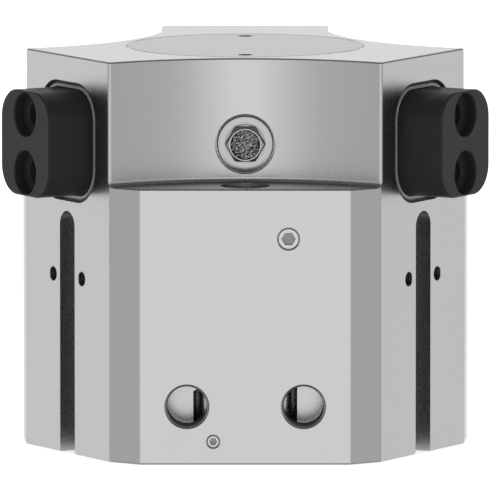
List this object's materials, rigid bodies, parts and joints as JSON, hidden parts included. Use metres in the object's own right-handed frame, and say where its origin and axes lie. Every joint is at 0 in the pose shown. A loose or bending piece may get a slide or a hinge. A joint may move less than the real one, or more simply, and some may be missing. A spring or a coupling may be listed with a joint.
{
  "type": "pneumatic gripper",
  "caption": "Sealed three-jaw pneumatic gripper: block body with scalloped upper part, black base jaws moved radially by a piston and wedge hooks.",
  "frame": {"origin": "on the gripper's axis, in the plane of the mounting face", "axes": "+Z along the axis from the mounting face towards the workpiece side, -Y towards the face with the air ports, +X to the right seen from the ports; the rear jaw opens along +Y"},
  "size_m": [0.1008, 0.0934, 0.0827],
  "materials": {
    "housing": "clear anodised, fine satin",
    "cover": "clear anodised, fine satin",
    "jaw": "black hard coating, satin",
    "wiper": "black elastomer, semi-gloss",
    "seal": "black elastomer",
    "buffer": "polyurethane",
    "bush": "sintered bronze",
    "plug": "stainless, fine turned",
    "filter": "sintered stainless grains",
    "piston": "hard anodised",
    "magnet": "bonded ferrite",
    "guide": "filled PTFE tape",
    "wedge": "hardened and ground",
    "screw": "black oxide"
  },
  "bodies": {
    "body": {"housing": "housing", "top_cover": "cover", "top_cover_seal": "seal", "base_cap": "cover", "base_cap_seal": "seal", "rod_bush": "bush", "rod_seal": "seal", "upper_stop_ring": "buffer", "lower_stop_ring": "buffer", "vent_plug": "plug", "vent_seal": "seal", "vent_filter": "filter", "duct_plug_upper": "plug", "duct_plug_lower": "plug", "channel_plug_left": "plug", "channel_plug_right": "plug", "jaw_seal_left": "seal", "jaw_wiper_left": "wiper", "jaw_seal_right": "seal", "jaw_wiper_right": "wiper", "jaw_seal_rear": "seal", "jaw_wiper_rear": "wiper"},
    "drive": {"piston": "piston", "piston_seal_lower": "seal", "piston_seal_upper": "seal", "piston_magnet": "magnet", "piston_guide_ring": "guide", "wedge_core": "wedge", "rod_joint_seal": "seal", "drive_screw": "screw"},
    "jaw_left": {"jaw_left": "jaw"},
    "jaw_right": {"jaw_right": "jaw"},
    "jaw_rear": {"jaw_rear": "jaw"}
  },
  "joints": [
    {"name": "piston_slide", "type": "slide", "parent": "body", "child": "drive", "axis": [0, 0, 1], "range_m": [-0.01, 0]},
    {"name": "jaw_slide_left", "type": "slide", "parent": "body", "child": "jaw_left", "axis": [-0.866, -0.5, 0], "range_m": [-0.006, 0]},
    {"name": "jaw_slide_right", "type": "slide", "parent": "body", "child": "jaw_right", "axis": [0.866, -0.5, 0], "range_m": [-0.006, 0]},
    {"name": "jaw_slide_rear", "type": "slide", "parent": "body", "child": "jaw_rear", "axis": [0, 1, 0], "range_m": [-0.006, 0]}
  ],
  "couplings": [
    {"joint": "jaw_slide_left", "follows": "piston_slide", "ratio": 0.6},
    {"joint": "jaw_slide_right", "follows": "piston_slide", "ratio": 0.6},
    {"joint": "jaw_slide_rear", "follows": "piston_slide", "ratio": 0.6}
  ]
}
